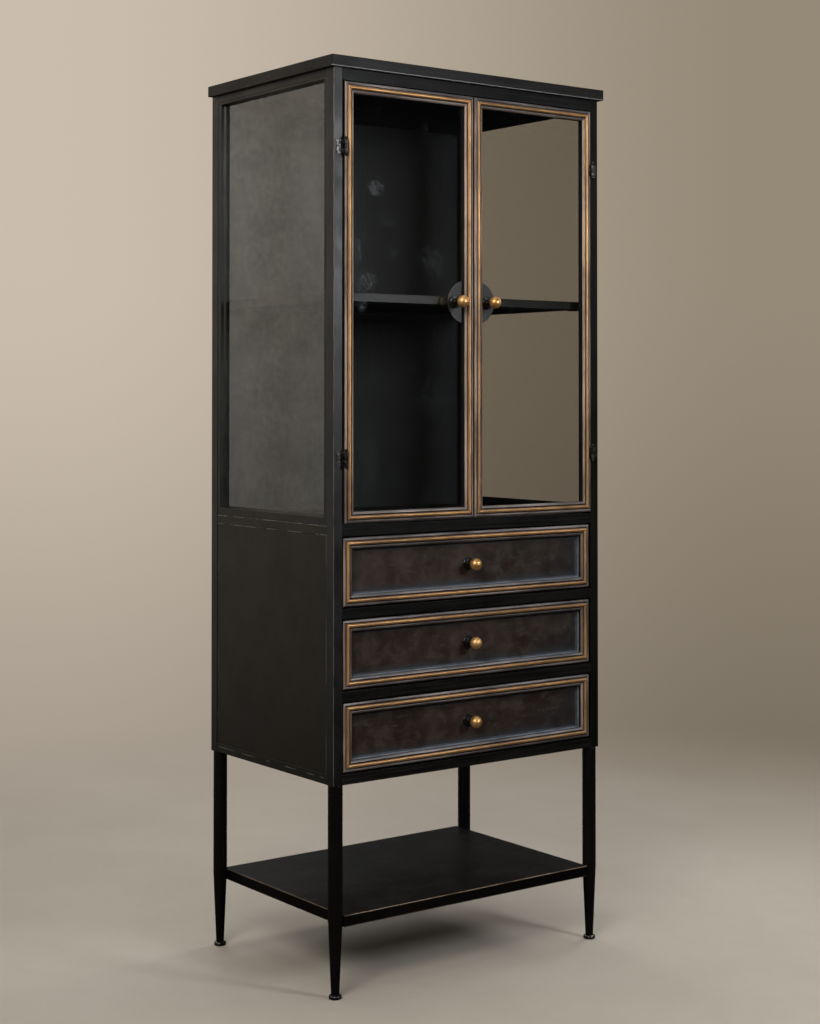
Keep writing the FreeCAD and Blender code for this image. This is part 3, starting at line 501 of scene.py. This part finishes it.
def back_material():
    """Black sheet with a painted sheen: a little greyer towards the middle, with a darker upright band on its right
    where the painted sheen is left out.
    """
    M = Mat("back_sheet")
    X, Y, Z = M.xyz()
    n1 = M.noise(3.0, 5, 0.6)
    n2 = M.noise(40, 5, 0.6, stretch=(6, 6, 0.6))
    wob = M.math("MULTIPLY", M.math("SUBTRACT", n1, 0.5), 0.05)
    x = M.math("ADD", X, wob)
    # painted sheen: lighter blue-grey over most of the sheet, left out in an upright band
    grey = M.math("MAXIMUM", M.ramp(x, 0.150, 0.015), M.math("MULTIPLY", M.ramp(x, 0.185, 0.250), 0.45))
    base = M.mix(M.ramp(n2, 0.35, 0.65), (0.0040, 0.0041, 0.0048), (0.0062, 0.0064, 0.0075))
    lit = M.mix(M.ramp(n2, 0.35, 0.65), (0.0185, 0.0200, 0.0235), (0.0280, 0.0300, 0.0350))
    col = M.mix(grey, base, lit)
    e, nrm = M.edge(0.0012, 4)
    col = M.mix(M.math("MULTIPLY", e, M.ramp(n1, 0.45, 0.6, 0, 0.4)), col, (0.12, 0.12, 0.12))
    n = M.bump(n2, 0.12, 0.0004, nrm)
    p = M.principled(Base_Color=col, Roughness=M.ramp(n1, 0.3, 0.7, 0.42, 0.6), Normal=n)
    p.inputs["Specular IOR Level"].default_value = 0.35
    return M.done(p.outputs[0])


assign(back_material(), "back_panel")
assign(iron_in, "cabinet_floor", "case_bottom", "drawer_1_box", "drawer_2_box", "drawer_3_box")


def shelf_lip(M, patch, brush):
    """The front lip is a lighter grey, most of all on the left."""
    X, Y, Z = M.xyz()
    front = M.ramp(Y, box["interior_shelf"][0].y + 0.0025, box["interior_shelf"][0].y + 0.0012)
    side = M.ramp(X, XL + 0.013, XL + 0.0118)
    f = M.math("MAXIMUM", M.math("MULTIPLY", front, M.ramp(X, 0.03, -0.10, 0.02, 0.36)), M.math("MULTIPLY", side, 0.30))
    return M.math("MULTIPLY", f, M.ramp(brush, 0.3, 0.7, 0.75, 1.0))


assign(black_iron("iron_shelf", seed=9.0, a=(0.005, 0.005, 0.006), b=(0.009, 0.009, 0.010), wear=(0.25, 0.26, 0.27),
                  extra=shelf_lip, streak=(0.5, 4, 4)), "interior_shelf")
assign(iron, "glazing_frame_left", "glazing_frame_right", "door_left_glass_beads", "door_right_glass_beads",
       "shelf_brackets", "door_catches")
assign(side_panel("side_panel_l", 2.5), "side_panel_left")
assign(side_panel("side_panel_r", 5.5), "side_panel_right")
assign(legs, "leg_front_left", "leg_front_right", "leg_back_left", "leg_back_right")
assign(plain_metal("glide_steel", (0.020, 0.020, 0.020), (0.075, 0.073, 0.070), (0.20, 0.34), 0.7, 90, 0.4), "foot_glides")
zinc = plain_metal("zinc", (0.42, 0.42, 0.43), (0.58, 0.57, 0.55), (0.3, 0.45), 1.0, 70, 0.3)
assign(zinc, "bottom_shelf_screws", "drawer_runners")
assign(plain_metal("hinge_steel", (0.010, 0.010, 0.010), (0.085, 0.083, 0.080), (0.24, 0.40), 0.7, 170, 0.8,
                   (0.62, 0.61, 0.59)), "hinge_post_leaves")
assign(plain_metal("hinge_black", (0.006, 0.006, 0.006), (0.022, 0.021, 0.020), (0.18, 0.32), 0.5, 170, 0.5,
                   (0.30, 0.29, 0.28)), "hinge_pins", "door_left_hinge_knuckles", "door_right_hinge_knuckles")
def tray_lines(M, patch, brush):
    X, Y, Z = M.xyz()
    lo, hi = box["bottom_shelf"]
    top = M.ramp(Z, hi.z - 0.0022, hi.z - 0.0010)
    outer = M.math("MAXIMUM", M.ramp(Y, lo.y + 0.0016, lo.y + 0.0004), M.math("MULTIPLY", M.ramp(M.math("ABSOLUTE", X), hi.x - 0.0016, hi.x - 0.0004), 0.55))
    worn = M.ramp(M.noise(9, 5, 0.65), 0.40, 0.56, 0.30, 1.0)
    low = M.math("MULTIPLY", M.math("MULTIPLY", M.ramp(Z, lo.z + 0.0016, lo.z + 0.0006), outer), 0.35)
    return M.math("MAXIMUM", M.math("MULTIPLY", M.math("MULTIPLY", top, outer), worn), low)


assign(black_iron("shelf_tray", seed=11.0, extra=tray_lines, a=(0.0022, 0.0018, 0.0016), b=(0.0050, 0.0040, 0.0034), wear=(0.36, 0.26, 0.18),
                  rough=(0.32, 0.50), streak=(0.6, 4, 4), edge_amt=0.95, spec=0.14), "bottom_shelf")
for side, seed in (("left", 1.3), ("right", 3.9)):
    assign(glass("side_pane_" + side, seed, 0.05), "side_glass_" + side)
    wipes = ((-0.2354, 1.5526, 0.024, 0.020, 2.4), (-0.2800, 1.4300, 0.012, 0.042, 2.0), (-0.2640, 1.3690, 0.040, 0.024, 2.4),
             (-0.2720, 1.3240, 0.018, 0.016, 2.0), (-0.2100, 1.4900, 0.030, 0.020, 0.4), (-0.0950, 1.4150, 0.046, 0.040, 0.7),
             (-0.1000, 1.1450, 0.070, 0.050, 0.35), (-0.2500, 1.0200, 0.030, 0.070, 0.4)) if side == "left" else ()
    assign(glass("door_pane_" + side, seed + 7, 0.10, marks=wipes, gain=1.0), "door_%s_glass" % side)
    lo, hi = box["door_%s_frame" % side]
    assign(moulding("door_moulding_" + side, lo.x, hi.x, lo.z, hi.z, YF - 0.005, seed,
                    ((0.230, 0.180, 0.155), (0.480, 0.385, 0.335))), "door_%s_frame" % side)
    assign(zinc, "door_%s_knob_nut" % side)
    assign(brass("knob_brass_" + side, seed), "door_%s_knob" % side)
    assign(plain_metal("knob_black_" + side, (0.004, 0.004, 0.004), (0.009, 0.0085, 0.008), (0.24, 0.38), 0.1, 60, 0.25,
                       (0.2, 0.18, 0.16), coat=0.2, seed=seed), "door_%s_knob_base" % side)
    assign(plain_metal("knob_plate_" + side, (0.017, 0.0148, 0.0142), (0.034, 0.030, 0.0287), (0.36, 0.50), 0.25, 30, 0.7,
                       (0.25, 0.22, 0.2), seed=seed), "door_%s_knob_plate" % side)
for i in (1, 2, 3):
    lo, hi = box["drawer_%d_front_frame" % i]
    assign(moulding("drawer_moulding_%d" % i, lo.x, hi.x, lo.z, hi.z, YF + 0.0015, 1.7 * i), "drawer_%d_front_frame" % i)
    pl, ph = box["drawer_%d_front_panel" % i]
    assign(drawer_panel("drawer_panel_%d" % i, lo.x + 0.0215, hi.x - 0.0215, lo.z + 0.0215, hi.z - 0.0215, 2.1 * i),
           "drawer_%d_front_panel" % i)
    assign(brass("knob_brass_d%d" % i, 1.1 * i), "drawer_%d_knob" % i)
    assign(plain_metal("knob_black_d%d" % i, (0.004, 0.004, 0.004), (0.009, 0.0085, 0.008), (0.24, 0.38), 0.1, 60, 0.25,
                       (0.2, 0.18, 0.16), coat=0.2, seed=i), "drawer_%d_knob_base" % i)

# ------------------------------------------------------------------ stage: floor, world, lights, camera
LIT_LEFT_TONE, SHADED_RIGHT_TONE = (0.590, 0.507, 0.415), (0.300, 0.250, 0.187)


def backdrop(t):
    """Soft studio backdrop with painted light: brighter on the left of the picture, with painted shade falling off to
    the right and downwards.
    """
    tcw = t.nodes.new("ShaderNodeTexCoord")
    sx = t.nodes.new("ShaderNodeSeparateXYZ")
    t.links.new(tcw.outputs["Window"], sx.inputs[0])
    h = t.nodes.new("ShaderNodeMapRange")
    h.interpolation_type = "SMOOTHSTEP"
    for k, v in (("From Min", 0.05), ("From Max", 0.95), ("To Min", 0.0), ("To Max", 1.0)):
        h.inputs[k].default_value = v
    t.links.new(sx.outputs[0], h.inputs["Value"])
    mixc = t.nodes.new("ShaderNodeMix")
    mixc.data_type = "RGBA"
    mixc.inputs[6].default_value = (*LIT_LEFT_TONE, 1)
    mixc.inputs[7].default_value = (*SHADED_RIGHT_TONE, 1)
    t.links.new(h.outputs["Result"], mixc.inputs["Factor"])
    painted_shade_down = t.nodes.new("ShaderNodeMapRange")
    painted_shade_down.interpolation_type = "SMOOTHSTEP"
    for k, v in (("From Min", 0.15), ("From Max", 0.75), ("To Min", 0.62), ("To Max", 1.0)):
        painted_shade_down.inputs[k].default_value = v
    t.links.new(sx.outputs[1], painted_shade_down.inputs["Value"])
    sc = t.nodes.new("ShaderNodeVectorMath")
    sc.operation = "SCALE"
    t.links.new(mixc.outputs[2], sc.inputs[0])
    t.links.new(painted_shade_down.outputs["Result"], sc.inputs["Scale"])
    return sc.outputs["Vector"]


def make_floor():
    M = Mat("floor_pale")
    n1 = M.noise(1.6, 6, 0.55)
    n2 = M.noise(24, 5, 0.6)
    col = M.mix(M.ramp(n1, 0.3, 0.7), (0.56, 0.505, 0.43), (0.62, 0.565, 0.49))
    col = M.mix(M.ramp(n2, 0.45, 0.75, 0, 0.12), col, (0.46, 0.42, 0.365))
    p = M.principled(Base_Color=col, Roughness=0.62)
    p.inputs["Specular IOR Level"].default_value = 0.25
    em = M.n("ShaderNodeEmission")
    M.link(backdrop(M.t), em.inputs["Color"])
    dim = M.principled(Base_Color=(0.05, 0.044, 0.036), Roughness=0.9)
    dim.inputs["Specular IOR Level"].default_value = 0.0
    lpn = M.n("ShaderNodeLightPath")
    X, Y, Z = M.xyz()
    r = M.math("SQRT", M.math("ADD", M.math("MULTIPLY", X, X), M.math("MULTIPLY", Y, Y)))
    # away from the cabinet the floor seen by the camera turns into a glow in the backdrop's painted light gradient,
    # with no lamp behind it
    mx = M.n("ShaderNodeMixShader")
    M.put(mx.inputs[0], M.ramp(r, 0.7, 2.9))
    M.link(p.outputs[0], mx.inputs[1])
    M.link(em.outputs[0], mx.inputs[2])
    eye = M.n("ShaderNodeMixShader")
    M.put(eye.inputs[0], lpn.outputs["Is Camera Ray"])
    M.link(dim.outputs[0], eye.inputs[1])
    M.link(mx.outputs[0], eye.inputs[2])
    mat = M.done(eye.outputs[0])
    me = bpy.data.meshes.new("floor")
    s = 30.0
    me.from_pydata([(-s, -s, 0), (s, -s, 0), (s, s, 0), (-s, s, 0)], [], [(0, 1, 2, 3)])
    o = bpy.data.objects.new("floor", me)
    me.materials.append(mat)
    bpy.context.scene.collection.objects.link(o)


make_floor()

world = bpy.data.worlds.new("studio")
bpy.context.scene.world = world
world.use_nodes = True
wt = world.node_tree
wt.nodes.clear()
wo = wt.nodes.new("ShaderNodeOutputWorld")
bg_cam = wt.nodes.new("ShaderNodeBackground")
wt.links.new(backdrop(wt), bg_cam.inputs[0])
bg_lit = wt.nodes.new("ShaderNodeBackground")
lp = wt.nodes.new("ShaderNodeLightPath")
tcn = wt.nodes.new("ShaderNodeTexCoord")
sep = wt.nodes.new("ShaderNodeSeparateXYZ")
wt.links.new(tcn.outputs["Generated"], sep.inputs[0])


def wmath(op, a, b):
    t = wt.nodes.new("ShaderNodeMath")
    t.operation = op
    for i, v in enumerate((a, b)):
        if isinstance(v, bpy.types.NodeSocket):
            wt.links.new(v, t.inputs[i])
        else:
            t.inputs[i].default_value = v
    return t.outputs[0]


# lit side of the room is to the left and behind, the front right stays dim
side = wmath("ADD", wmath("MULTIPLY", sep.outputs[0], -0.62), wmath("MULTIPLY", sep.outputs[1], 0.45))
mr = wt.nodes.new("ShaderNodeMapRange")
mr.interpolation_type = "SMOOTHSTEP"
mr.inputs["From Min"].default_value = -0.45
mr.inputs["From Max"].default_value = 0.75
mr.inputs["To Min"].default_value = 0.015
mr.inputs["To Max"].default_value = 0.30
wt.links.new(side, mr.inputs["Value"])
bg_lit.inputs[0].default_value = (1.0, 0.955, 0.89, 1)
wt.links.new(mr.outputs["Result"], bg_lit.inputs[1])
mixw = wt.nodes.new("ShaderNodeMixShader")
wt.links.new(lp.outputs["Is Camera Ray"], mixw.inputs[0])
wt.links.new(bg_lit.outputs[0], mixw.inputs[1])
wt.links.new(bg_cam.outputs[0], mixw.inputs[2])
wt.links.new(mixw.outputs[0], wo.inputs["Surface"])


def area(name, loc, target, size, power, color=(1, 1, 1), size_y=None, spread=None):
    L = bpy.data.lights.new(name, "AREA")
    L.energy = power
    L.color = color
    L.shape = "RECTANGLE"
    L.size = size
    L.size_y = size_y or size
    # meant to keep the lamps out of the sharp reflections in the panes; at some angles one still shows
    L.use_nodes = True
    t = L.node_tree
    t.nodes.clear()
    lo = t.nodes.new("ShaderNodeOutputLight")
    le = t.nodes.new("ShaderNodeEmission")
    ll = t.nodes.new("ShaderNodeLightPath")
    lm = t.nodes.new("ShaderNodeMath")
    lm.operation = "SUBTRACT"
    lm.inputs[0].default_value = 1.0
    t.links.new(ll.outputs["Is Singular Ray"], lm.inputs[1])
    t.links.new(lm.outputs[0], le.inputs["Strength"])
    t.links.new(le.outputs[0], lo.inputs["Surface"])
    o = bpy.data.objects.new(name, L)
    o.location = loc
    o.rotation_mode = "QUATERNION"
    o.rotation_quaternion = (Vector(target) - Vector(loc)).to_track_quat("-Z", "Y")
    bpy.context.scene.collection.objects.link(o)
    o.visible_camera = False
    return o


area("key_left", (-2.9, -2.0, 2.9), (0, 0, 1.1), 1.6, 66, (1.0, 0.95, 0.88))
area("window_soft", (0.80, -2.30, 1.72), (-0.1, 0, 1.35), 0.38, 20, (0.93, 0.965, 1.0), 0.68)
area("fill_right", (3.2, -1.6, 2.2), (0, 0, 0.9), 1.6, 8, (1.0, 0.97, 0.93))
area("right_side", (3.0, 0.5, 3.0), (0.34, 0, 0.9), 1.4, 30, (1.0, 0.97, 0.93))
area("behind", (0.6, 3.3, 3.3), (0, 0.24, 0.9), 1.8, 26, (0.97, 0.98, 1.0))
area("overhead", (0.0, 0.2, 4.2), (0, 0, 0), 2.6, 28, (1.0, 0.98, 0.95))


def bounce_wall():
    """A lit wall that only mirror reflections see; it stands off to the back left."""
    M = Mat("bounce_wall")
    X, Y, Z = M.xyz()
    n1 = M.noise(9, 6, 0.65)
    n2 = M.noise(46, 5, 0.65)
    # painted shade: the wall's glow is weaker towards the floor
    painted_light_upward = M.ramp(Z, 0.0, 2.0, 0.38, 1.02)
    tex = M.math("ADD", M.ramp(n1, 0.3, 0.7, 0.82, 1.08), M.ramp(n2, 0.3, 0.7, -0.10, 0.10))
    em = M.n("ShaderNodeEmission")
    em.inputs["Color"].default_value = (1.0, 0.905, 0.755, 1)
    M.put(em.inputs["Strength"], M.math("MULTIPLY", M.math("MULTIPLY", painted_light_upward, tex), WALL))
    mat = M.done(em.outputs[0])
    me = bpy.data.meshes.new("bounce_wall")
    me.from_pydata([(-4.5, 2.0, -0.02), (-0.42, 2.0, -0.02), (-0.42, 2.0, 3.4), (-4.5, 2.0, 3.4)], [], [(0, 1, 2, 3)])
    o = bpy.data.objects.new("bounce_wall", me)
    me.materials.append(mat)
    bpy.context.scene.collection.objects.link(o)
    o.visible_camera = False
    o.visible_diffuse = False
    o.visible_transmission = False
    o.visible_volume_scatter = False
    o.visible_shadow = False


WALL = 0.66
bounce_wall()

cam_data = bpy.data.cameras.new("camera")
cam = bpy.data.objects.new("camera", cam_data)
bpy.context.scene.collection.objects.link(cam)
bpy.context.scene.camera = cam
CAM = (-2.29365, YF - 2.86434, 1.14423)
cam.location = CAM
cam.rotation_mode = "XYZ"
cam.rotation_euler = (math.radians(90.961), 0.0, math.radians(-36.702))
cam_data.sensor_width = 36.0
cam_data.lens = 1818.56 / 1024.0 * 36.0
cam_data.clip_start, cam_data.clip_end = 0.05, 100.0
# the picture is taken almost level, with the lens dropped: only for the camera's own place, not for views round the object
fc = cam_data.driver_add("shift_y")
drv = fc.driver
drv.type = "SCRIPTED"
for nm, chan in (("cx", "LOC_X"), ("cz", "LOC_Z")):
    v = drv.variables.new()
    v.name = nm
    v.type = "TRANSFORMS"
    v.targets[0].id = cam
    v.targets[0].transform_type = chan
    v.targets[0].transform_space = "WORLD_SPACE"
drv.expression = "-0.14126 if abs(cx + %.4f) + abs(cz - %.4f) < 0.002 else 0.0" % (-CAM[0], CAM[2])

bpy.context.scene.view_settings.view_transform = "Standard"
bpy.context.scene.view_settings.look = "None"
